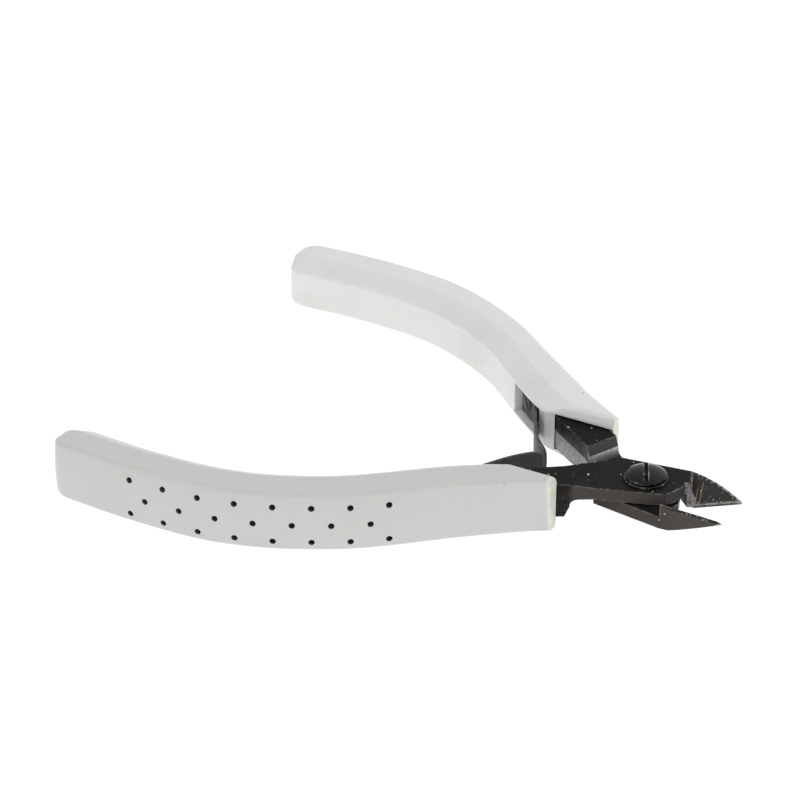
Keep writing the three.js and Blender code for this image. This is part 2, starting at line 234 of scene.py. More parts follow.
def makeEdgeWear(look):
    inputs = {"Vector": (0, 0, 0), "Breakup": 900.0, "Reach": 0.0003, "Amount": 0.5}
    tree, given, result = newGroup("edgeWear", inputs, ["Mask"])
    inside = node(tree, "ShaderNodeAmbientOcclusion", inside=True, only_local=True, samples=look["samples"])
    link(tree, given.outputs["Reach"], inside.inputs["Distance"])
    edge = minus(tree, 1.0, inside.outputs["AO"])
    broken = noise(tree, given.outputs["Vector"], given.outputs["Breakup"], 4.0, 0.65)
    worn = times(tree, edge, ramp(tree, broken, *look["broken"]))
    shown = ramp(tree, worn, *look["shown"])
    link(tree, times(tree, shown, given.outputs["Amount"]), result.inputs["Mask"])
    return tree


# scratches: thin streaks along one direction
scratchFade = 0.1


def makeScratches(fade):
    inputs = {"Vector": (0, 0, 0), "Stretch": (200.0, 6000.0, 6000.0), "Threshold": 0.66}
    tree, given, result = newGroup("scratches", inputs, ["Mask", "Fine"])
    drawn = node(tree, "ShaderNodeVectorMath", operation="MULTIPLY")
    link(tree, given.outputs["Vector"], drawn.inputs[0])
    link(tree, given.outputs["Stretch"], drawn.inputs[1])
    streak = noise(tree, drawn.outputs[0], 1.0, 3.0, 0.6)
    upper = plus(tree, given.outputs["Threshold"], fade)
    link(tree, ramp(tree, streak, given.outputs["Threshold"], upper), result.inputs["Mask"])
    link(tree, streak, result.inputs["Fine"])
    return tree


specksGroup = makeSpecks(speckShape)
edgeWearGroup = makeEdgeWear(wearShape)
scratchesGroup = makeScratches(scratchFade)
print("shader groups built")


def placeGroup(tree, group, vector, **values):
    made = node(tree, "ShaderNodeGroup")
    made.node_tree = group
    return fill(tree, made, {"Vector": vector, **values})


def newMaterial(name):
    material = bpy.data.materials.new(name)
    material.use_nodes = True
    tree = material.node_tree
    shader = tree.nodes["Principled BSDF"]
    coordinates = node(tree, "ShaderNodeTexCoord")
    return material, tree, shader, coordinates.outputs["Object"]


def mixColour(tree, factor, first, second):
    made = node(tree, "ShaderNodeMix", data_type="RGBA")
    return fill(tree, made, {0: factor, 6: first, 7: second}).outputs[2]


# colour, roughness that follows a mask, and fine relief
def dress(tree, shader, look, colour, mask, height, strength, distance, low=0.2, **others):
    bump = {"Height": height, "Strength": strength, "Distance": distance}
    fill(tree, shader, {
        "Base Color": colour,
        "Roughness": ramp(tree, mask, low, 0.8, *look["roughness"]),
        "Specular IOR Level": look["specular"],
        "Normal": fill(tree, node(tree, "ShaderNodeBump"), bump).outputs["Normal"],
        **others,
    })


# white moulded plastic, a little soiled, yellowed at the front rim
gripFinish = {
    # the front sleeve's white is darker than the rear's: partly soil, partly painted shade on the front sleeve
    "frontSoiledShadedWhite": (0.645, 0.645, 0.632),
    "rearWhite": (0.85, 0.85, 0.835),
    "soil": (0.6, 0.59, 0.55),
    "soilShare": 0.22,
    "yellow": (0.84, 0.825, 0.72),
    "rim": (-12.4, -11.75),  # ahead of the pivot, mm
    "speck": (0.2, 0.19, 0.16),
    "dots": {"Scale": 900.0, "Share": 0.12, "Size": 0.15},
    "stains": {"Scale": 420.0, "Share": 0.3, "Size": 0.2},
    "stainShare": 0.13,
    "dirt": (-56.5, -16.5),  # dots and stains thicken from here to here
    "roughness": (0.29, 0.46),
    "specular": 0.4,
    "depth": {"Subsurface Weight": 0.12, "Subsurface Radius": (1.0, 0.9, 0.75), "Subsurface Scale": 0.0012},
}


def makeGripPlastic(name, look, white):
    material, tree, shader, place = newMaterial(name)
    ahead = pivotPlace(tree, place)[0]
    cloudy = noise(tree, place, 90.0, 3.0, 0.55)
    soiled = ramp(tree, cloudy, 0.45, 0.8, 0.0, look["soilShare"])
    colour = mixColour(tree, soiled, white, look["soil"])
    patchy = ramp(tree, noise(tree, place, 500.0, 3.0, 0.6), 0.3, 0.65, 0.35, 1.0)
    rim = ramp(tree, ahead, *look["rim"])
    colour = mixColour(tree, times(tree, rim, patchy), colour, look["yellow"])
    nearFront = ramp(tree, ahead, *look["dirt"], 0.15, 1.0)
    dots = placeGroup(tree, specksGroup, place, **look["dots"])
    marks = times(tree, dots.outputs["Mask"], nearFront)
    dirty = times(tree, marks, ramp(tree, dots.outputs["Tone"], 0.0, 1.0, 0.25, 0.85))
    colour = mixColour(tree, dirty, colour, look["speck"])
    stains = placeGroup(tree, specksGroup, place, **look["stains"])
    faint = times(tree, times(tree, stains.outputs["Mask"], nearFront), look["stainShare"])
    colour = mixColour(tree, faint, colour, look["speck"])
    grain = noise(tree, place, 5200.0, 2.0, 0.5)
    dress(tree, shader, look, colour, cloudy, grain, 0.12, 0.00008, 0.3, **look["depth"])
    return material


# painted shade inside a perforation: walls and floor near black for the shade deep in the hole, mottled lighter with
# dust
holeShadeFinish = {"dark": (0.06, 0.058, 0.054), "dust": (0.16, 0.157, 0.148), "roughness": 0.85}


def makeHoleShade(look):
    material, tree, shader, place = newMaterial("perforationInsideShade")
    dusty = noise(tree, place, 1500.0, 3.0, 0.6)
    link(tree, mixColour(tree, dusty, look["dark"], look["dust"]), shader.inputs["Base Color"])
    shader.inputs["Roughness"].default_value = look["roughness"]
    return material


# blackened steel: darkest on the flat tops, with painted light on the sides, which are given a lighter, slightly
# browner colour; worn bright along the edges
steelFinish = {
    "black": (0.0135, 0.0125, 0.012),
    # side and jaw: painted light, the colours of upright faces, lighter than the tops and lightest near the jaws; the
    # mottle also blends half way towards side
    "side": (0.07, 0.063, 0.059),
    "jaw": (0.085, 0.078, 0.07),
    "brass": (0.3, 0.23, 0.12),
    "bare": (0.46, 0.45, 0.43),
    "dust": (0.78, 0.77, 0.74),
    "roughness": (0.34, 0.56),
    "specular": 0.04,
    "jawSpan": (4.0, 12.0),  # ahead of the pivot, mm
    # painted shade, from behind the pivot back towards the sleeve, mm
    "neckShadeSpan": (-8.8, -10.2),
    "tipSpan": (15.2, 16.6),  # along the cutting edge
}
scaledSteel = {
    "flat": steelFinish["black"],
    "wear": 0.34,
    "dust": {"Scale": 1100.0, "Share": 0.2, "Size": 0.21},
    "stretch": (350.0, 5200.0, 5200.0),
    "ground": False,
}
groundSteel = {
    "flat": (0.042, 0.039, 0.036),
    "wear": 0.6,
    "dust": {"Scale": 2600.0, "Share": 0.9, "Size": 0.21},
    "stretch": (4200.0, 420.0, 4200.0),
    "ground": True,
}
bevelMarks = {
    "wall": (7.62, 0.156),  # where the bevel starts along the edge, and its lean
    "throat": (2.4, 0.5),  # across, where the worn strip widens
    "strip": (0.3, 1.3),  # its width
    "edge": (0.42, 0.16),
    "brass": [(8.5, 0.5, 2.5), (9.25, 0.45, 3.3)],  # along, then from and to across
    "brassWidth": (0.11, 0.04),
}


# worn strip at the root of a bevel, wide at the throat, and the bright cutting edge
def groundMarks(tree, look, along, across, patchy):
    start, lean = look["wall"]
    past = minus(tree, along, minus(tree, start, times(tree, across, lean)))
    width = ramp(tree, across, *look["throat"], *look["strip"])
    strip = ramp(tree, past, width, times(tree, width, 0.6), 0.0, 0.95)
    strip = times(tree, strip, ramp(tree, patchy, 0.0, 1.0, 0.5, 1.0))
    edgeLine = times(tree, ramp(tree, across, *look["edge"]), ramp(tree, patchy, 0.0, 1.0, 0.3, 0.8))
    return larger(tree, strip, edgeLine)


# two fine brass-coloured rubbed lines across the bevel
def brassMarks(tree, look, along, across):
    shown = 0.0
    for at, low, high in look["brass"]:
        line = ramp(tree, mathNode(tree, "ABSOLUTE", minus(tree, along, at)), *look["brassWidth"])
        length = times(tree, ramp(tree, across, low - 0.1, low + 0.1), ramp(tree, across, high, high - 0.4))
        shown = larger(tree, shown, times(tree, line, length))
    return shown


def makeLeverSteel(name, look, kind):
    material, tree, shader, place = newMaterial(name)
    split = pivotPlace(tree, place)
    facing = splitPlace(tree, node(tree, "ShaderNodeTexCoord").outputs["Normal"])
    # painted light: upright faces get a lighter colour than the flat tops, lighter still towards the jaws
    litSides = ramp(tree, mathNode(tree, "ABSOLUTE", facing[2]), 0.9, 0.35)
    mottle = noise(tree, place, 650.0, 4.0, 0.6)
    side = mixColour(tree, ramp(tree, split[0], *look["jawSpan"]), look["side"], look["jaw"])
    colour = mixColour(tree, litSides, kind["flat"], side)
    lighter = mixColour(tree, 0.5, colour, look["side"])
    colour = mixColour(tree, ramp(tree, mottle, 0.35, 0.8, 0.0, 0.45), colour, lighter)
    # painted shade: towards the sleeve the colour turns black, in streaks
    streaky = placeGroup(tree, scratchesGroup, place, Stretch=(260.0, 260.0, 2600.0), Threshold=0.5)
    thin = ramp(tree, streaky.outputs["Fine"], 0.3, 0.6, 1.0, 0.7)
    colour = mixColour(tree, times(tree, ramp(tree, split[0], *look["neckShadeSpan"]), thin), colour, look["black"])
    edge = placeGroup(tree, edgeWearGroup, place, Breakup=1100.0, Reach=0.00032, Amount=kind["wear"])
    streaks = placeGroup(tree, scratchesGroup, place, Stretch=kind["stretch"], Threshold=0.66)
    bared = larger(tree, edge.outputs["Mask"], times(tree, streaks.outputs["Mask"], 0.16))
    along, across = jawPlace(tree, split)
    patchy = ramp(tree, noise(tree, place, 1500.0, 3.0, 0.6), 0.3, 0.6)
    tip = times(tree, ramp(tree, along, *look["tipSpan"], 0.0, 0.8), patchy)
    bared = larger(tree, bared, tip)
    if kind["ground"]:
        bared = larger(tree, bared, groundMarks(tree, bevelMarks, along, across, patchy))
        colour = mixColour(tree, brassMarks(tree, bevelMarks, along, across), colour, look["brass"])
    colour = mixColour(tree, bared, colour, look["bare"])
    grains = placeGroup(tree, specksGroup, place, **kind["dust"])
    colour = mixColour(tree, grains.outputs["Mask"], colour, look["dust"])
    metal = times(tree, edge.outputs["Mask"], 0.7)
    dress(tree, shader, look, colour, mottle, streaks.outputs["Fine"], 0.25, 0.00002, Metallic=metal)
    return material


# neck's inner wall: scale-dark above, bare and finely ground below
neckFinish = {
    "dark": (0.014, 0.013, 0.013),
    "ground": (0.24, 0.233, 0.226),
    "bright": (0.58, 0.565, 0.55),
    "border": (0.5, 0.2),  # height, mm
    "roughness": (0.34, 0.52),
    "specular": 0.2,
}


# height that wanders with the grain, for a ragged border
def raggedHeight(tree, height, fine):
    return plus(tree, height, times(tree, minus(tree, fine, 0.5), 0.7))


def makeNeckSteel(look):
    material, tree, shader, place = newMaterial("neckSteel")
    fine = noise(tree, place, 2400.0, 3.0, 0.65)
    cloudy = noise(tree, place, 420.0, 3.0, 0.6)
    ground = ramp(tree, raggedHeight(tree, lapHeight(tree, place), fine), *look["border"])
    tone = times(tree, ramp(tree, fine, 0.3, 0.7), ramp(tree, cloudy, 0.25, 0.7, 0.5, 1.0))
    bare = mixColour(tree, tone, look["ground"], look["bright"])
    dress(tree, shader, look, mixColour(tree, ground, look["dark"], bare), cloudy, fine, 0.3, 0.00003)
    return material


# step behind the lap: smooth grey ramp, a ragged bright line, then a polished fillet painted light grey as a painted
# highlight that fades darker towards the plate
stepFinish = {
    "rampGrey": (0.07, 0.066, 0.063),
    "fillet": (0.5, 0.485, 0.465),
    "filletFrom": (1.41, 1.23),  # height, mm
    "filletFade": (0.1, 1.1),
    "line": (0.68, 0.66, 0.63),
    "lineAt": 1.33,
    "roughness": (0.3, 0.46),
    "specular": 0.2,
}


def makeStepSteel(look):
    material, tree, shader, place = newMaterial("stepSteel")
    height = lapHeight(tree, place)
    fine = noise(tree, place, 2200.0, 3.0, 0.6)
    border = raggedHeight(tree, height, fine)
    # painted highlight on the polished fillet below the line, fading towards the plate
    polishAndHighlight = times(tree, ramp(tree, border, *look["filletFrom"]), ramp(tree, height, *look["filletFade"]))
    cloudy = ramp(tree, noise(tree, place, 700.0, 3.0, 0.6), 0.25, 0.7, 0.55, 1.0)
    colour = mixColour(tree, times(tree, polishAndHighlight, cloudy), look["rampGrey"], look["fillet"])
    offLine = mathNode(tree, "ABSOLUTE", minus(tree, border, look["lineAt"]))
    dotted = times(tree, ramp(tree, offLine, 0.2, 0.06), ramp(tree, fine, 0.4, 0.56))
    colour = mixColour(tree, dotted, colour, look["line"])
    # edge wear at full strength in the line's colour: partly wear, partly a painted highlight along the ramp's top
    # edge
    edge = placeGroup(tree, edgeWearGroup, place, Breakup=900.0, Reach=0.0003, Amount=1.0)
    colour = mixColour(tree, edge.outputs["Mask"], colour, look["line"])
    dress(tree, shader, look, colour, fine, fine, 0.2, 0.00002, Metallic=times(tree, polishAndHighlight, 0.1))
    return material


# throat walls: patchy, half painted bright: painted light for the light these walls catch
throatFinish = {"dark": (0.1, 0.092, 0.085), "bare": (0.46, 0.44, 0.41), "roughness": (0.3, 0.55), "specular": 0.2}


def makeThroatSteel(look):
    material, tree, shader, place = newMaterial("throatLitSteel")
    patchy = noise(tree, place, 1400.0, 4.0, 0.65)
    colour = mixColour(tree, ramp(tree, patchy, 0.3, 0.65), look["dark"], look["bare"])
    dress(tree, shader, look, colour, patchy, patchy, 0.3, 0.00003)
    return material


# gloss black screw, dark satin springs
# the screw's strong edge wear is partly wear, partly a painted reflection of the bright arcs along the head's rim
screwFinish = {"base": (0.003, 0.003, 0.0034), "roughness": (0.136, 0.238), "specular": 0.28, "wear": 0.8}
springFinish = {"base": (0.046, 0.046, 0.048), "roughness": (0.336, 0.588), "specular": 0.14, "wear": 0.3}


def makeGlossBlack(name, look):
    material, tree, shader, place = newMaterial(name)
    mottle = noise(tree, place, 1300.0, 3.0, 0.6)
    light = tuple(2.2 * part for part in look["base"])
    colour = mixColour(tree, mottle, look["base"], light)
    edge = placeGroup(tree, edgeWearGroup, place, Breakup=520.0, Reach=0.00032, Amount=look["wear"])
    colour = mixColour(tree, edge.outputs["Mask"], colour, steelFinish["bare"])
    grains = placeGroup(tree, specksGroup, place, Scale=700.0, Share=0.03, Size=0.1)
    colour = mixColour(tree, grains.outputs["Mask"], colour, steelFinish["dust"])
    dress(tree, shader, look, colour, mottle, mottle, 0.15, 0.00002)
    return material


# bottom of the screw's slot, grey dust packed in the middle
slotFinish = {
    "black": (0.006, 0.006, 0.006),
    "dust": (0.15, 0.145, 0.135),
    "packed": (1.3, 0.3),  # from the middle, mm
    "roughness": 0.7,
    "specular": 0.1,
}


def makeSlotSoil(look):
    material, tree, shader, place = newMaterial("slotSoil")
    split = pivotPlace(tree, place)
    reach = mathNode(tree, "SQRT", plus(tree, times(tree, split[0], split[0]), times(tree, split[1], split[1])))
    patchy = ramp(tree, noise(tree, place, 1600.0, 4.0, 0.65), 0.42, 0.62)
    dusty = times(tree, ramp(tree, reach, *look["packed"]), patchy)
    colour = mixColour(tree, dusty, look["black"], look["dust"])
    shine = {"Roughness": look["roughness"], "Specular IOR Level": look["specular"]}
    fill(tree, shader, {"Base Color": colour, **shine})
    return material


# the front sleeve takes the darker white, partly soil and partly painted shade
frontPlastic = makeGripPlastic("frontPlastic", gripFinish, gripFinish["frontSoiledShadedWhite"])
rearPlastic = makeGripPlastic("rearPlastic", gripFinish, gripFinish["rearWhite"])
holeShade = makeHoleShade(holeShadeFinish)
leverSteel = makeLeverSteel("leverSteel", steelFinish, scaledSteel)
bevelSteel = makeLeverSteel("bevelSteel", steelFinish, groundSteel)
neckSteel = makeNeckSteel(neckFinish)
stepSteel = makeStepSteel(stepFinish)
throatLitSteel = makeThroatSteel(throatFinish)
screwBlack = makeGlossBlack("screwBlack", screwFinish)
slotSoil = makeSlotSoil(slotFinish)
springSteel = makeGlossBlack("springSteel", springFinish)
print("materials built")


# mesh helpers
def addObject(name, mesh):
    made = bpy.data.objects.new(name, mesh)
    scene.collection.objects.link(made)
    return made


def fromBmesh(name, bm):
    mesh = bpy.data.meshes.new(name)
    bm.to_mesh(mesh)
    bm.free()
    return addObject(name, mesh)


def settle(piece):
    bpy.context.view_layer.update()
    evaluated = piece.evaluated_get(bpy.context.evaluated_depsgraph_get())
    mesh = bpy.data.meshes.new_from_object(evaluated)
    old = piece.data
    piece.modifiers.clear()
    piece.data = mesh
    bpy.data.meshes.remove(old)


# the cutter takes the piece's materials, so that the cut faces keep the piece's slots
def carve(piece, cutter):
    for material in piece.data.materials:
        cutter.data.materials.append(material)
    cut = piece.modifiers.new("carve", "BOOLEAN")
    cut.operation = "DIFFERENCE"
    cut.solver = "MANIFOLD"
    cut.object = cutter
    settle(piece)
    bpy.data.objects.remove(cutter)


def bevelEdges(piece, width, segments, angle):
    edges = piece.modifiers.new("edges", "BEVEL")
    edges.width = width * mm
    edges.segments = segments
    edges.limit_method = "ANGLE"
    edges.angle_limit = math.radians(angle)
    settle(piece)


def shade(piece, angle):
    piece.data.shade_smooth()
    piece.data.set_sharp_from_angle(angle=math.radians(angle))


# large faces keep their own normal, so the turn shows on the small rounds alone
def shadeFlats(piece, angle):
    shade(piece, angle)
    flats = piece.modifiers.new("flats", "WEIGHTED_NORMAL")
    flats.keep_sharp = True
    settle(piece)


def finishPiece(piece, body, cadNode):
    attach(piece, body)
    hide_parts(cadNode)


def loft(name, rings):
    bm = bmesh.new()
    rows = [[bm.verts.new(point) for point in ring] for ring in rings]
    count = len(rows[0])
    for near, far in zip(rows, rows[1:]):
        for side in range(count):
            after = (side + 1) % count
            bm.faces.new((near[side], near[after], far[after], far[side]))
    bm.faces.new(reversed(rows[0]))
    bm.faces.new(rows[-1])
    bmesh.ops.recalc_face_normals(bm, faces=bm.faces)
    return fromBmesh(name, bm)


def lathe(name, profile, sides, place):
    bm = bmesh.new()
    turn = [2 * math.pi * side / sides for side in range(sides)]
    rings = []
    for radius, height in profile:
        angles = turn if radius > 1e-6 else [0]
        ring = [Vector((radius * math.cos(a), radius * math.sin(a), height)) for a in angles]
        rings.append([bm.verts.new(place @ point) for point in ring])
    for near, far in zip(rings, rings[1:]):
        for side in range(sides):
            after = (side + 1) % sides
            loop = [near[side % len(near)], near[after % len(near)], far[after % len(far)], far[side % len(far)]]
            unique = list(dict.fromkeys(loop))
            if len(unique) > 2:
                bm.faces.new(unique)
    bmesh.ops.remove_doubles(bm, verts=bm.verts, dist=1e-7)
    bmesh.ops.recalc_face_normals(bm, faces=bm.faces)
    return fromBmesh(name, bm)


# handle line: a smooth curve through marks given as (back, out) from the pivot
handle = {
    "marks": [(8.5, 3.9), (28.6, 10.8), (49.1, 20.6), (65.7, 23.7), (81.6, 21.8), (98.4, 17.2)],
    "samples": 160,
}


# cubic from start to end that leaves and arrives at the given slopes
def cubic(start, end, leave, reach, t):
    square = (3 * (end - start) - 2 * leave - reach) * t**2
    return start + leave * t + square + (2 * (start - end) + leave + reach) * t**3


def sampleHandle(look):
    marks = [Vector((-back, -out)) for back, out in look["marks"]]
    marks = [2 * marks[0] - marks[1], *marks, 2 * marks[-1] - marks[-2]]
    points = []
    for a, b, c, d in zip(marks, marks[1:], marks[2:], marks[3:]):
        before, between, after = ((p - q).length ** 0.5 for p, q in ((a, b), (b, c), (c, d)))
        leave = ((b - a) / before - (c - a) / (before + between) + (c - b) / between) * between
        reach = ((c - b) / between - (d - b) / (between + after) + (d - c) / after) * between
        points += [cubic(b, c, leave, reach, step / look["samples"]) for step in range(look["samples"])]
    points.append(marks[-2])
    lengths = [0.0]
    for p, q in zip(points, points[1:]):
        lengths.append(lengths[-1] + (q - p).length)
    return points, lengths


handlePoints, handleLengths = sampleHandle(handle)
handleLength = handleLengths[-1]


def handleAt(s):
    s = min(max(s, 0.0), handleLength)
    low = min(bisect_right(handleLengths, s) - 1, len(handleLengths) - 2)
    share = (s - handleLengths[low]) / (handleLengths[low + 1] - handleLengths[low])
    return handlePoints[low].lerp(handlePoints[low + 1], share)


def beside(s, out, z):
    along = handleAt(s + 0.1) - handleAt(s - 0.1)
    along.normalize()
    point = handleAt(s) + Vector((-along.y, along.x)) * out
    return Vector((point.x, point.y, z))


# how far along the handle a place lies, given how far back it is from the pivot
def alongAt(back):
    low, high = 0.0, handleLength
    for step in range(40):
        middle = (low + high) / 2
        low, high = (middle, high) if -handleAt(middle).x < back else (low, middle)
    return low


# moulded sleeves
grip = {
    "half": 5.4,
    "inner": 5.0,
    "outer": 4.8,
    "innerHalf": 3.45,
    "topInner": 1.3,
    "bulge": (0.25, 0.5),  # palm side, at the front end and along the hand
    "taper": (7.0, 32.0),  # along the handle, where the palm side swells from the flat front end
    "bowSteps": 16,
    "bowSkip": 3,  # steps left out beside each palm edge
    "innerRound": 0.75,
    "chamferRound": (0.3, 1.1),
    "roundSteps": 6,
    "heelRadius": 3.8,
    "heelDrop": 1.3,
    "heelSteps": 14,
    "stations": 130,
    "tangInner": -3.1,
    "tangOuter": 1.7,
    "tangHalf": 3.1,
    "tangStop": 8.0,
    "pocketFrom": 3.1,
    "pocketStations": 60,
    "gap": 0.3,
    "neck": ((-10.3, 1.75), (-14.3, -2.6), (-21.5, -2.6)),
    "neckEnd": 25.8,
    "neckSteps": 16,
    "neckPast": (0.05, 0.2),  # past the pocket, up and inwards
    "cutOffset": 10.4,
    "frontReach": 11.5,
    "window": (26.5, 35.3),
    "windowHalf": 2.9,
    "windowStations": 8,
    "rimRound": 0.2,
    "rimSegments": 3,
    "rimAngle": 45,
    "shadeAngle": 38,
    "mouthRoll": (1.4, 1.8),  # how far the edge of the mouth is rolled back and down
    "frontRoll": (0.7, 0.7),
    "rollSteps": 8,
    "rollPower": 1.8,
    "rollPast": 0.02,
    "cutAway": (60, 20),
}

# how far out the palm side's upper and lower edges lie, at marks along the handle: (along, upper, lower)
frontHand = {
    "up": 1,
    "upperRound": 0.9,
    "lowerRound": 0.9,
    "edges": [
        (0, 3.8, 3.0), (9, 3.9, 3.0), (16, 4.2, 3.7), (23, 4.4, 4.3), (33, 4.6, 4.75),
        (46, 4.65, 4.8), (60, 4.5, 4.8), (80, 4.15, 4.2), (105, 4.0, 4.0),
    ],
}
rearHand = {
    "up": -1,
    "upperRound": 1.3,
    "lowerRound": 0.9,
    "edges": [
        (0, 3.75, 3.3), (17, 3.8, 3.7), (22, 3.95, 4.0), (27, 3.72, 4.3), (31.5, 3.35, 4.5), (36, 3.0, 4.62),
        (41, 2.98, 4.7), (46, 3.17, 4.7), (50.5, 3.33, 4.7), (55, 3.5, 4.7), (60, 3.7, 4.7), (65, 3.88, 4.65),
        (80, 3.97, 4.2), (105, 3.9, 4.0),
    ],
}


def edgesAt(hand, s):
    marks = hand["edges"]
    index = 0
    while index < len(marks) - 2 and marks[index + 1][0] <= s:
        index += 1
    before, near = marks[max(index - 1, 0)], marks[index]
    far, after = marks[index + 1], marks[min(index + 2, len(marks) - 1)]
    span = far[0] - near[0]
    found = []
    for side in (1, 2):
        leave = (far[side] - before[side]) / (far[0] - before[0]) * span
        reach = (after[side] - near[side]) / (after[0] - near[0]) * span
        found.append(cubic(near[side], far[side], leave, reach, (s - near[0]) / span))
    return found


def swell(look, s):
    start, end = look["taper"]
    share = min(max((s - start) / (end - start), 0.0), 1.0)
    return share * share * (3 - 2 * share)


def palmAt(look, hand, s, z):
    upper, lower = edgesAt(hand, s)
    share = (1 + hand["up"] * z / look["half"]) / 2
    bulge = look["bulge"][0] + (look["bulge"][1] - look["bulge"][0]) * swell(look, s)
    return lower + (upper - lower) * share + bulge * (1 - (z / look["half"]) ** 2)


def roundedLoop(corners, steps):
    loop = []
    count = len(corners)
    for index, (point, radius) in enumerate(corners):
        if radius == 0:
            loop.append(point)
            continue
        before = (corners[index - 1][0] - point).normalized()
        after = (corners[(index + 1) % count][0] - point).normalized()
        half = before.angle(after) / 2
        back = radius / math.tan(half)
        centre = point + (before + after).normalized() * radius / math.sin(half)
        first, last = point + before * back - centre, point + after * back - centre
        sweep = first.angle_signed(last)
        for step in range(steps + 1):
            turned = first.copy()
            turned.rotate(Matrix.Rotation(-sweep * step / steps, 2))
            loop.append(centre + turned)
    return loop


def gripSection(look, hand, s):
    half = look["half"]
    grown = swell(look, s)
    chamferRound = look["chamferRound"][0] + (look["chamferRound"][1] - look["chamferRound"][0]) * grown
    rounds = (hand["lowerRound"], hand["upperRound"])[:: hand["up"]]
    corners = [
        (Vector((-look["inner"], -look["innerHalf"])), look["innerRound"]),
        (Vector((-look["topInner"], -half)), chamferRound),
        (Vector((palmAt(look, hand, s, -half), -half)), rounds[0]),
    ]
    for step in range(look["bowSkip"], look["bowSteps"] - look["bowSkip"] + 1):  # palm side, a shallow bow
        z = -half + 2 * half * step / look["bowSteps"]
        corners.append((Vector((palmAt(look, hand, s, z), z)), 0))
    corners += [
        (Vector((palmAt(look, hand, s, half), half)), rounds[1]),
        (Vector((-look["topInner"], half)), chamferRound),
        (Vector((-look["inner"], look["innerHalf"])), look["innerRound"]),
    ]
    return roundedLoop(corners, look["roundSteps"])


def bar(name, start, end, inner, outer, half, stations, place):
    rings = []
    for step in range(stations + 1):
        s = start + (end - start) * step / stations
        corners = ((inner, -half), (outer, -half), (outer, half), (inner, half))
        rings.append([place @ beside(s, out, z) for out, z in corners])
    return loft(name, rings)


# room for the lever's neck, which is wider than its tang
def neckRoom(name, look, place):
    room = look["gap"]
    up, inwards = look["neckPast"]
    half = look["tangHalf"] + room + up
    end = alongAt(look["neckEnd"]) + room
    marks = [Vector((x, y + room)) for x, y in look["neck"]]
    marks.append(beside(end, look["tangInner"] - room + inwards, 0).to_2d())  # ends inside the pocket
    outline = []
    for step in range(look["neckSteps"] + 1):
        t = step / look["neckSteps"]
        weights = ((1 - t) ** 3, 3 * t * (1 - t) ** 2, 3 * t * t * (1 - t), t**3)
        outline.append(sum((mark * weight for mark, weight in zip(marks, weights)), Vector((0, 0))))
    outline += [beside(end, 0, 0).to_2d(), beside(0, look["tangOuter"], 0).to_2d()]
    rings = [[place @ Vector((point.x, point.y, z)) for point in outline] for z in (-half, half)]
    return loft(name, rings)


def block(name, low, high, place):
    rings = []
    for x in (low[0], high[0]):
        corners = ((low[1], low[2]), (high[1], low[2]), (high[1], high[2]), (low[1], high[2]))
        rings.append([place @ Vector((x, y, z)) for y, z in corners])
    return loft(name, rings)


# cuts away all on one side of a plane and rolls the top and the bottom of the edge that stays
def lipOutline(at, keep, look, roll):
    reach, drop = roll
    wide, tall = look["cutAway"]
    upper = []
    for step in range(look["rollSteps"] + 1):
        share = step / look["rollSteps"]
        sunk = drop * (1 - share) ** look["rollPower"]
        upper.append((at + keep * reach * share, look["half"] + look["rollPast"] - sunk))
    upper += [(at + keep * reach, tall), (at - keep * wide, tall)]
    return [(away, -z) for away, z in reversed(upper)] + upper


def lipCutter(name, at, keep, look, alongX):
    outline = lipOutline(at, keep, look, look["mouthRoll"] if alongX else look["frontRoll"])
    wide = look["cutAway"][0]
    rings = []
    for end in (-wide, wide):
        rings.append([openPlace @ Vector((end, away, z) if alongX else (away, end, z)) for away, z in outline])
    return loft(name, rings)


# rows of perforations, cut by a node tree that puts a cutter at every step along guide lines
perforations = {
    "fromHeel": 17.1,
    "pitch": 6.035,
    "pitchShare": 0.995,  # a little short, so that the last hole of a row isn't lost
    "rowSpacing": 3.25,
    "rowDrop": 0.3,
    "perOuterRow": 8,
    "guidePoints": 8,
    "radius": 0.55,
    "depth": 1.7,
    "sides": 20,
}


def perforationGuides(look, shape, hand, place):
    curve = bpy.data.curves.new("perforationGuides", "CURVE")
    curve.dimensions = "3D"
    for row in (-1, 0, 1):
        steps = look["perOuterRow"] - (2 if row == 0 else 1)
        start = handleLength - look["fromHeel"] - (look["pitch"] / 2 if row == 0 else 0)
        z = row * look["rowSpacing"] - hand["up"] * look["rowDrop"]
        spline = curve.splines.new("POLY")
        count = steps * look["guidePoints"]
        spline.points.add(count)
        for index, point in enumerate(spline.points):
            s = start - look["pitch"] * steps * index / count
            point.co = (*(place @ beside(s, palmAt(shape, hand, s, z), z)), 1)
    return addObject("perforationGuides", curve)


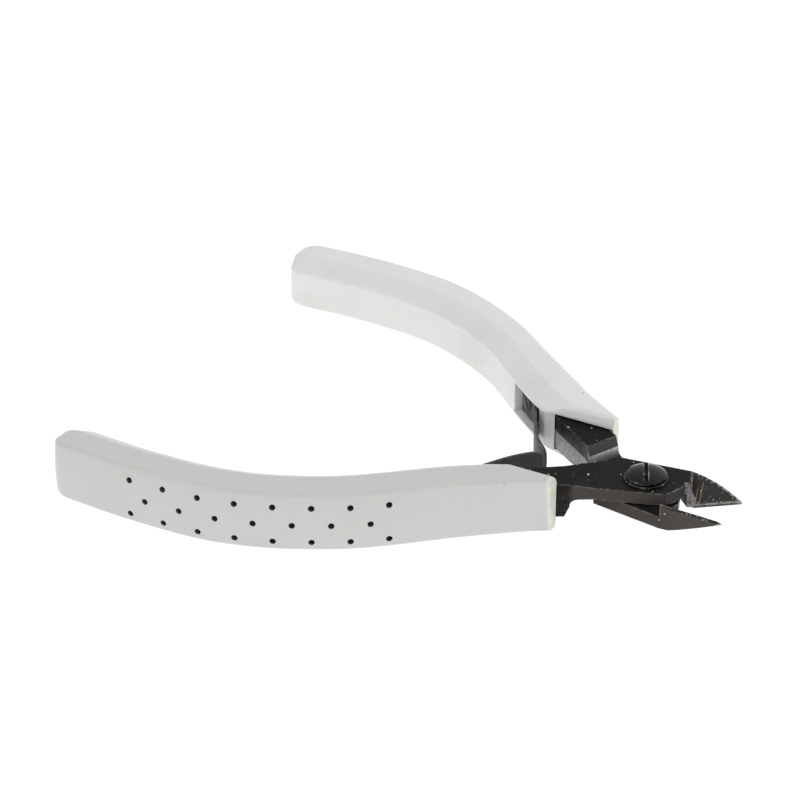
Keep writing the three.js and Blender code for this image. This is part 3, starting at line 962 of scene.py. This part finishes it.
def perforationTree(look):
    tree = bpy.data.node_groups.new("perforate", "GeometryNodeTree")
    face = tree.interface
    face.new_socket("Geometry", in_out="INPUT", socket_type="NodeSocketGeometry")
    face.new_socket("Guides", in_out="INPUT", socket_type="NodeSocketObject")
    for label in ("Pitch", "Radius", "Depth"):
        face.new_socket(label, in_out="INPUT", socket_type="NodeSocketFloat")
    face.new_socket("Inside", in_out="INPUT", socket_type="NodeSocketMaterial")
    face.new_socket("Geometry", in_out="OUTPUT", socket_type="NodeSocketGeometry")
    given = node(tree, "NodeGroupInput").outputs
    guides = node(tree, "GeometryNodeObjectInfo", transform_space="ORIGINAL")
    guides = fill(tree, guides, {"Object": given["Guides"]}).outputs["Geometry"]
    points = node(tree, "GeometryNodeCurveToPoints", mode="LENGTH")
    points = fill(tree, points, {"Curve": guides, "Length": given["Pitch"]}).outputs
    outward = node(tree, "ShaderNodeVectorMath", operation="CROSS_PRODUCT")
    outward = fill(tree, outward, {0: points["Tangent"], 1: (0, 0, 1)}).outputs[0]
    facing = node(tree, "FunctionNodeAlignRotationToVector", axis="Z")
    facing = fill(tree, facing, {"Vector": outward}).outputs["Rotation"]
    cutter = node(tree, "GeometryNodeMeshCylinder", fill_type="NGON")
    depth = times(tree, given["Depth"], 2.0)
    cutter = fill(tree, cutter, {"Vertices": look["sides"], "Radius": given["Radius"], "Depth": depth}).outputs["Mesh"]
    placed = node(tree, "GeometryNodeInstanceOnPoints")
    fill(tree, placed, {"Points": points["Points"], "Instance": cutter, "Rotation": facing})
    real = fill(tree, node(tree, "GeometryNodeRealizeInstances"), {"Geometry": placed.outputs["Instances"]})
    painted = {"Geometry": real.outputs["Geometry"], "Material": given["Inside"]}
    painted = fill(tree, node(tree, "GeometryNodeSetMaterial"), painted).outputs["Geometry"]
    cut = node(tree, "GeometryNodeMeshBoolean", operation="DIFFERENCE", solver="EXACT")
    cut = fill(tree, cut, {"Mesh 1": given["Geometry"], "Mesh 2": painted}).outputs["Mesh"]
    fill(tree, node(tree, "NodeGroupOutput"), {"Geometry": cut})
    return tree


def perforate(piece, tree, look, shape, hand, place):
    guides = perforationGuides(look, shape, hand, place)
    cut = piece.modifiers.new("perforate", "NODES")
    cut.node_group = tree
    values = {
        "Guides": guides,
        "Pitch": look["pitch"] * mm * look["pitchShare"],
        "Radius": look["radius"] * mm,
        "Depth": look["depth"] * mm,
        # the hole walls and floors take the painted shade
        "Inside": holeShade,
    }
    for item in tree.interface.items_tree:
        if item.in_out == "INPUT" and item.name in values:
            cut[item.identifier] = values[item.name]
    settle(piece)
    bpy.data.objects.remove(guides)


def makeGrip(name, look, hand, place, tree, plastic):
    middle = (look["outer"] - look["inner"]) / 2
    halfWidth = (look["outer"] + look["inner"]) / 2
    straight = handleLength - look["heelRadius"]
    rows = [(straight * step / look["stations"], 1.0, 1.0) for step in range(look["stations"] + 1)]
    for step in range(1, look["heelSteps"] + 1):
        angle = math.pi / 2 * step / look["heelSteps"]
        lost = look["heelRadius"] * (1 - math.cos(angle))
        drop = look["heelDrop"] * (1 - math.cos(angle))
        s = straight + look["heelRadius"] * math.sin(angle)
        rows.append((s, 1 - lost / halfWidth, 1 - drop / look["half"]))
    rings = []
    for s, squeeze, flatten in rows:
        section = gripSection(look, hand, s)
        rings.append([place @ beside(s, middle + (p.x - middle) * squeeze, p.y * flatten) for p in section])
    piece = loft(name, rings)
    piece.data.materials.append(plastic)
    gap = look["gap"]
    end = handleLength - look["tangStop"] + gap
    inner, outer, half = look["tangInner"] - gap, look["tangOuter"] + gap, look["tangHalf"] + gap
    carve(piece, neckRoom("neckRoom", look, place))
    carve(piece, bar("pocket", look["pocketFrom"], end, inner, outer, half, look["pocketStations"], place))
    first, last = (alongAt(back) for back in look["window"])
    inner, outer, half = -look["inner"] - 1, look["tangInner"], look["windowHalf"]
    carve(piece, bar("window", first, last, inner, outer, half, look["windowStations"], place))
    side = -hand["up"]
    carve(piece, lipCutter("mouth", side * look["cutOffset"], side, look, True))
    carve(piece, lipCutter("front", -look["frontReach"], -1, look, False))
    bevelEdges(piece, look["rimRound"], look["rimSegments"], look["rimAngle"])
    perforate(piece, tree, perforations, look, hand, place)
    shadeFlats(piece, look["shadeAngle"])
    return piece


perforateTree = perforationTree(perforations)
for name, hand, place, body, cadNode, plastic in (
    ("frontSleeve", frontHand, frontPlace, "front_half", "front_grip", frontPlastic),
    ("rearSleeve", rearHand, rearPlace, "rear_half", "rear_grip", rearPlastic),
):
    piece = makeGrip(name, grip, hand, place, perforateTree, plastic)
    finishPiece(piece, body, cadNode)
    print(name, len(piece.data.polygons), "faces")


# levers: the solids with softened edges, each kind of face in its own finish
lever = {
    "flatAngle": 0.4,
    "edge": 0.09,
    "segments": 2,
    "edgeAngle": 24,
    "shadeAngle": 32,
    "bevelFrom": 6.4,  # this and the spans are reaches ahead of the pivot
    "neck": (-30.0, -9.0),
    "step": (-15.5, -9.5),
    "throat": (6.4, 8.0),
    "shadedPlateEnd": (4.2, 12.0),
    "jawFacet": 0.75,
    "facetAbove": -1.2,
}
leverFinishes = [leverSteel, bevelSteel, neckSteel, stepSteel, throatLitSteel, screwBlack]


def solidCopy(name, cadNode, flat):
    bm = bmesh.new()
    bm.from_mesh(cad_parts[cadNode].data)
    bmesh.ops.remove_doubles(bm, verts=bm.verts, dist=2e-6)
    bmesh.ops.dissolve_limit(bm, angle_limit=math.radians(flat), verts=bm.verts, edges=bm.edges)
    piece = fromBmesh(name, bm)
    piece.data.materials.clear()
    return piece


# breaks the upper outer edge of the near jaw, as a dark narrow facet
def breakJawEdge(piece, look):
    bm = bmesh.new()
    bm.from_mesh(piece.data)
    chosen = []
    for edge in bm.edges:
        middle = ((edge.verts[0].co + edge.verts[1].co) / 2 - pivot) / mm
        onJaw = middle.x >= look["bevelFrom"] and middle.y <= 0 and middle.z >= look["facetAbove"]
        if len(edge.link_faces) < 2 or not onJaw:
            continue
        flatter, steeper = sorted(edge.link_faces, key=lambda face: -face.normal.z)
        if flatter.normal.z > 0.5 and abs(steeper.normal.z) < 0.3 and steeper.normal.y < -0.5:
            chosen.append(edge)
    bmesh.ops.bevel(bm, geom=chosen, offset=look["jawFacet"] * mm, segments=1, affect="EDGES", clamp_overlap=False)
    bm.to_mesh(piece.data)
    bm.free()
    return len(chosen)


def within(value, span):
    return span[0] < value < span[1]


def faceFinish(face, look):
    reach = (face.center.x - pivot.x) / mm
    normal = face.normal
    level = abs(normal.z)
    inward = -normal.y if face.center.y > pivot.y else normal.y
    if reach > look["bevelFrom"] and normal.z > 0.5 and abs(normal.y) > 0.3:
        return bevelSteel
    if within(reach, look["step"]) and normal.x > 0.35 and (level > 0.2 or normal.x > 0.75):
        return stepSteel
    if within(reach, look["neck"]) and level < 0.3 and inward > 0.2:
        return neckSteel
    # the throat walls take the painted light
    if within(reach, look["throat"]) and level < 0.4 and inward > 0.1:
        return throatLitSteel
    # painted shade: the plate's end faces, in the shadow of the gap between the halves, take the screw's gloss black
    if within(reach, look["shadedPlateEnd"]) and level < 0.4 and normal.x > 0.25 and inward < 0:
        return screwBlack
    return leverSteel


def makeLever(name, cadNode, look):
    piece = solidCopy(name, cadNode, look["flatAngle"])
    for material in leverFinishes:
        piece.data.materials.append(material)
    if name == "rearLever":
        print("jaw facet on", breakJawEdge(piece, look), "edges")
    for face in piece.data.polygons:
        face.material_index = leverFinishes.index(faceFinish(face, look))
    bevelEdges(piece, look["edge"], look["segments"], look["edgeAngle"])
    shadeFlats(piece, look["shadeAngle"])
    return piece


for name, body, cadNode in (("frontLever", "front_half", "front_lever"), ("rearLever", "rear_half", "rear_lever")):
    piece = makeLever(name, cadNode, lever)
    finishPiece(piece, body, cadNode)
    print(name, len(piece.data.polygons), "faces")


# leaf springs: the solids with softened edges
spring = {"flatAngle": 0.05, "edge": 0.1, "segments": 3, "edgeAngle": 40, "shadeAngle": 30, "root": 5}


def makeSpring(name, cadNode, look):
    piece = solidCopy(name, cadNode, look["flatAngle"])
    piece.data.materials.append(springSteel)
    bevelEdges(piece, look["edge"], look["segments"], look["edgeAngle"])
    shade(piece, look["shadeAngle"])
    return piece


for name, own, other, cadNode, side in (
    ("frontLeaf", "front_half", "rear_half", "front_spring", -1),
    ("rearLeaf", "rear_half", "front_half", "rear_spring", 1),
):
    piece = makeSpring(name, cadNode, spring)
    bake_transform(piece)
    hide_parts(cadNode)
    print(name, len(piece.data.polygons), "faces")


# pivot screw, washer and spring rivets
screw = {
    "shank": 2.0,
    "head": 3.55,
    "rim": 0.5,
    "dome": 1.1,
    "domeSteps": 24,
    "sides": 96,
    "foot": 3.0,
    "end": -2.2,
    "slotWidth": 0.66,
    "slotDepth": 0.9,
    "slotAngle": -63,
    "slotPast": (6, 2),  # how far the cutter goes aside and up
    "rimRound": 0.12,
    "edge": 0.05,
    "segments": 2,
    "edgeAngle": 40,
    "shadeAngle": 30,
}


def capHeight(look, radius):
    reach = look["head"] - look["rimRound"]
    ball = (look["dome"] ** 2 + reach**2) / (2 * look["dome"])
    return look["foot"] + look["rim"] + look["dome"] - ball + math.sqrt(ball**2 - min(radius, reach) ** 2)


def makeScrew(look):
    rimTop = look["foot"] + look["rim"]
    r = look["rimRound"]
    profile = [(0, look["end"]), (look["shank"], look["end"]), (look["shank"], look["foot"])]
    profile += [(look["head"] - r, look["foot"]), (look["head"], look["foot"] + r), (look["head"], rimTop - r)]
    for step in range(look["domeSteps"] + 1):
        radius = (look["head"] - r) * (1 - step / look["domeSteps"])
        profile.append((radius, capHeight(look, radius)))
    piece = lathe("pivotScrewHead", profile, look["sides"], openPlace)
    piece.data.materials.append(screwBlack)
    place = openPlace @ Matrix.Rotation(math.radians(look["slotAngle"]), 4, "Z")
    top = rimTop + look["dome"]
    width = look["slotWidth"] / 2
    aside, above = look["slotPast"]
    carve(piece, block("slot", (-aside, -width, top - look["slotDepth"]), (aside, width, top + above), place))
    piece.data.materials.append(slotSoil)
    for face in piece.data.polygons:
        inSlot = place.inverted() @ face.center
        below = capHeight(look, inSlot.xy.length) - inSlot.z
        if abs(inSlot.y) < width + 0.01 and below > 0.04 and inSlot.z > rimTop - 0.2:
            face.material_index = 1
    bevelEdges(piece, look["edge"], look["segments"], look["edgeAngle"])
    shade(piece, look["shadeAngle"])
    return piece


finishPiece(makeScrew(screw), "rear_half", "pivot_screw")

washer = {"inner": 2.1, "outer": 3.75, "foot": 2.5, "thickness": 0.4, "round": 0.1, "sides": 96, "shadeAngle": 50}


def makeWasher(look):
    r = look["round"]
    low, high = look["foot"], look["foot"] + look["thickness"]
    profile = [(look["inner"], low), (look["outer"] - r, low)]
    profile += [(look["outer"] - r * 0.3, low + r * 0.3), (look["outer"], low + r), (look["outer"], high - r)]
    profile += [(look["outer"] - r * 0.3, high - r * 0.3), (look["outer"] - r, high), (look["inner"], high)]
    profile.append((look["inner"], low))
    piece = lathe("washerRing", profile, look["sides"], openPlace)
    piece.data.materials.append(screwBlack)
    shade(piece, look["shadeAngle"])
    return piece


finishPiece(makeWasher(washer), "rear_half", "pivot_washer")

rivet = {
    "at": 32.8,
    "foot": -3.8,
    "radius": 0.7,
    "tail": 2.7,
    "headRadius": 1.3,
    "headHeight": 0.5,
    "headFoot": 0.1,
    "headEdge": 0.06,
    "headSteps": 8,
    "sides": 40,
    "shadeAngle": 40,
}


def makeRivet(name, look, place):
    s = alongAt(look["at"])
    foot = beside(s, look["foot"], 0)
    inward = (beside(s, look["foot"] - 1, 0) - foot).normalized()
    turn = inward.to_track_quat("Z", "Y").to_matrix().to_4x4()
    head, edge, low = look["headRadius"], look["headEdge"], look["headFoot"]
    profile = [(0, -look["tail"]), (look["radius"], -look["tail"]), (look["radius"], 0)]
    profile += [(head - edge, 0), (head, edge)]
    for step in range(1, look["headSteps"]):
        angle = math.pi / 2 * step / look["headSteps"]
        profile.append((head * math.cos(angle), low + (look["headHeight"] - low) * math.sin(angle)))
    profile.append((0, look["headHeight"]))
    piece = lathe(name, profile, look["sides"], place @ Matrix.Translation(foot) @ turn)
    piece.data.materials.append(screwBlack)
    shade(piece, look["shadeAngle"])
    return piece


finishPiece(makeRivet("frontRivet", rivet, frontPlace), "front_half", "front_spring_rivet")
finishPiece(makeRivet("rearRivet", rivet, rearPlace), "rear_half", "rear_spring_rivet")
print("screw, washer and rivets built")


# pale floor, soft light
studio = {
    "floorSize": 4.0,
    "floorDrop": 0.0002,
    "floorWhite": 0.9,
    "floorRoughness": 0.9,
    "floorGlow": 0.43,  # a softly lit table
    "seenWhite": 1.12,
    "seenShare": 0.8,
    "frontSky": 0.33,
    "backSky": 0.95,
    "sideShares": (0.82, 1.16),
    "heightShares": (0.8, 1.2),
    "lamps": [
        # name, place, size, watts
        ("leftSoft", (-0.85, -0.35, 0.3), 0.8, 0.1),
        ("rightSoft", (0.7, -0.75, 0.35), 0.6, 1.1),
        ("frontLow", (-0.2, -1.0, 0.16), 0.5, 0.2),
        ("highFront", (0.25, -0.75, 0.8), 0.6, 0.3),
        ("edgeStrip", (-0.4, -0.52, 0.8), 0.22, 1.4),
    ],
}


def makeFloorWhite(look):
    material = bpy.data.materials.new("paleFloor")
    material.use_nodes = True
    tree = material.node_tree
    shader = tree.nodes["Principled BSDF"]
    white = look["floorWhite"]
    fill(tree, shader, {
        "Base Color": (white, white, white),
        "Roughness": look["floorRoughness"],
        "Specular IOR Level": 0.0,
        "Emission Color": (1, 1, 1),
        "Emission Strength": look["floorGlow"],
    })
    glow = fill(tree, node(tree, "ShaderNodeEmission"), {"Strength": look["seenWhite"]})
    seen = node(tree, "ShaderNodeLightPath").outputs
    share = times(tree, larger(tree, seen["Is Camera Ray"], seen["Is Glossy Ray"]), look["seenShare"])
    mix = fill(tree, node(tree, "ShaderNodeMixShader"), {0: share, 1: shader.outputs[0], 2: glow.outputs[0]})
    link(tree, mix.outputs[0], tree.nodes["Material Output"].inputs["Surface"])
    return material


def makeStudio(look):
    bm = bmesh.new()
    bmesh.ops.create_grid(bm, x_segments=1, y_segments=1, size=look["floorSize"] / 2)
    floor = fromBmesh("paleFloor", bm)
    floor.location.z = -look["floorDrop"]
    floor.data.materials.append(makeFloorWhite(look))
    world = bpy.data.worlds.new("softWorld")
    scene.world = world
    world.use_nodes = True
    tree = world.node_tree
    background = tree.nodes["Background"]
    background.inputs["Color"].default_value = (1, 1, 1, 1)
    direction = splitPlace(tree, node(tree, "ShaderNodeTexCoord").outputs["Generated"])
    sky = ramp(tree, direction[1], -1.0, 1.0, look["frontSky"], look["backSky"])
    sky = times(tree, sky, ramp(tree, direction[0], -1.0, 1.0, *look["sideShares"]))
    sky = times(tree, sky, ramp(tree, direction[2], 0.0, 1.0, *look["heightShares"]))
    seen = node(tree, "ShaderNodeLightPath")
    strength = ramp(tree, seen.outputs["Is Camera Ray"], 0.0, 1.0, sky, 1.0)
    link(tree, strength, background.inputs["Strength"])
    for name, place, size, watts in look["lamps"]:
        data = bpy.data.lights.new(name, "AREA")
        data.energy = watts
        data.size = size
        lamp = bpy.data.objects.new(name, data)
        scene.collection.objects.link(lamp)
        lamp.location = place
        lamp.rotation_mode = "QUATERNION"
        lamp.rotation_quaternion = (-Vector(place)).to_track_quat("-Z", "Y")  # at the object


makeStudio(studio)
print("studio set")
